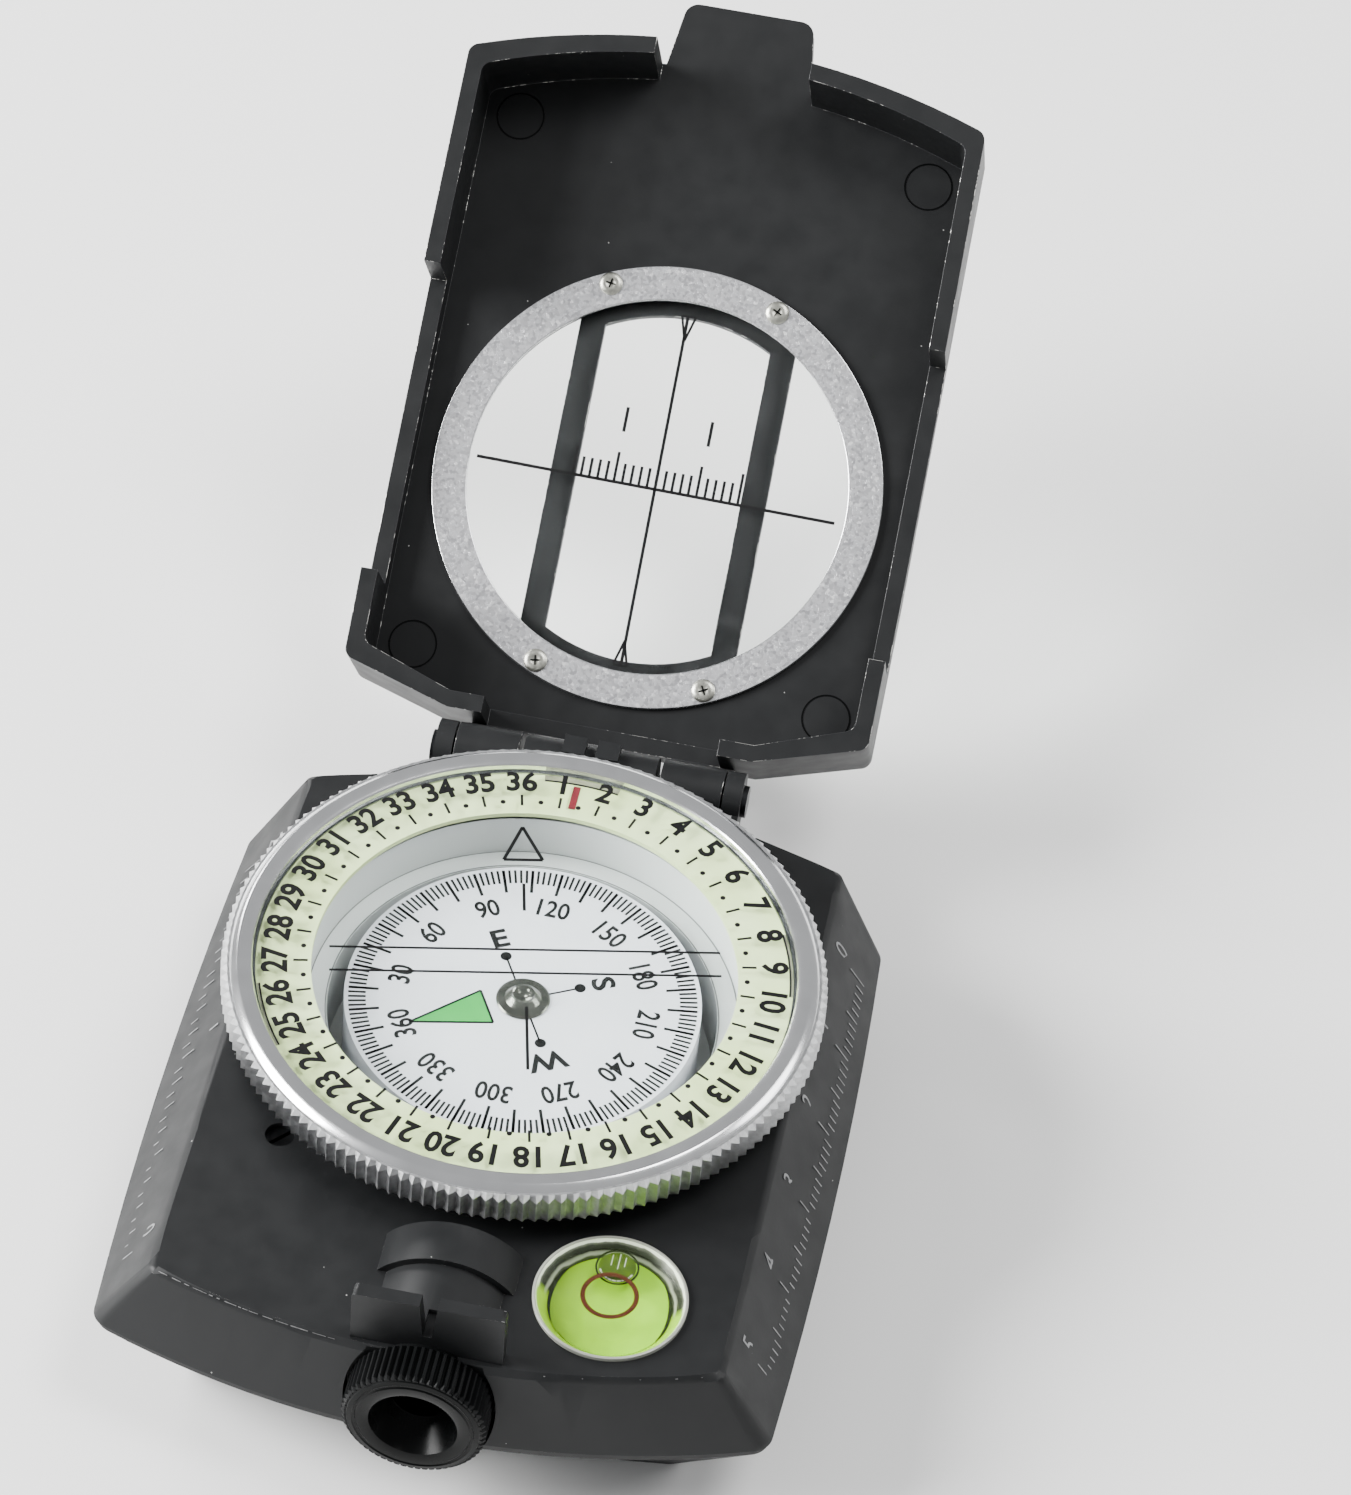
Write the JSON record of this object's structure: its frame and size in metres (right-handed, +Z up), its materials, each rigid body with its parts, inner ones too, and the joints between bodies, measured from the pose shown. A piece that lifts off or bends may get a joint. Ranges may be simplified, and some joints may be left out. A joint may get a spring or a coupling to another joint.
{
  "type": "sighting compass",
  "caption": "Folding hand compass with a hinged tray lid and sighting window, turning bezel over a swinging card, bubble level and focusing eyepiece.",
  "frame": {"origin": "on the bezel axis, in the plane of the flat underside", "axes": "+Z up along the bezel and card axis, +Y towards the hinge, +X along the hinge pin"},
  "size_m": [0.0656, 0.156, 0.0591],
  "materials": {
    "case_enamel": "satin",
    "cover_plastic": "matte",
    "seal_rubber": "matte",
    "screw_steel": "satin",
    "bush_brass": "satin",
    "capsule_white": "matte",
    "clear_window": "polished",
    "pivot_steel": "polished",
    "luminous": "matte",
    "index_red": "matte",
    "spring_steel": "satin",
    "level_metal": "satin",
    "level_fluid": "clear",
    "black_anodised": "anodised",
    "pin_steel": "satin",
    "bright_aluminium": "blasted",
    "machined_aluminium": "machined",
    "card_white": "matte",
    "magnet_alloy": "plated",
    "jewel_metal": "polished",
    "lens_glass": "polished"
  },
  "bodies": {
    "case": {"case_shell": "case_enamel", "bottom_cover": "cover_plastic", "cover_gasket": "seal_rubber", "cover_screws": "screw_steel", "tripod_bush": "bush_brass", "capsule_cup": "capsule_white", "capsule_gasket": "seal_rubber", "capsule_window": "clear_window", "pivot_post": "pivot_steel", "luminous_ring": "luminous", "index_mark": "index_red", "spring_ring": "spring_steel", "level_cup": "level_metal", "level_fluid": "level_fluid", "level_window": "clear_window", "lock_screw": "screw_steel", "eyepiece_sleeve": "black_anodised", "hinge_pin": "pin_steel"},
    "lid": {"lid_shell": "case_enamel", "sight_window": "clear_window", "window_ring": "bright_aluminium", "ring_screws": "screw_steel"},
    "bezel": {"bezel_ring": "machined_aluminium", "dial_disc": "clear_window"},
    "card": {"compass_card": "card_white", "card_magnet": "magnet_alloy", "card_jewel": "jewel_metal"},
    "lens": {"lens_cell": "black_anodised", "eye_lens": "lens_glass", "lens_retainer": "black_anodised"},
    "focus": {"focus_ring": "black_anodised"}
  },
  "joints": [
    {"name": "lid_hinge", "type": "hinge", "parent": "case", "child": "lid", "pos_m": [0, 0.03273, 0.01688], "axis": [1, 0, 0], "range_deg": [0, 145.48]},
    {"name": "bezel_turn", "type": "hinge", "parent": "case", "child": "bezel", "pos_m": [0, 0, 0.0205], "axis": [0, 0, 1], "continuous": true},
    {"name": "card_swing", "type": "hinge", "parent": "case", "child": "card", "pos_m": [0, 0, 0.0187], "axis": [0, 0, 1], "continuous": true},
    {"name": "focus_turn", "type": "hinge", "parent": "case", "child": "focus", "pos_m": [0, -0.0434, 0.013], "axis": [0, -1, 0], "range_deg": [0, 300]},
    {"name": "lens_slide", "type": "slide", "parent": "case", "child": "lens", "axis": [0, -1, 0], "range_m": [0, 0.0015]}
  ],
  "couplings": [
    {"joint": "lens_slide", "follows": "focus_turn", "m_per_rad": 0.00028648}
  ]
}
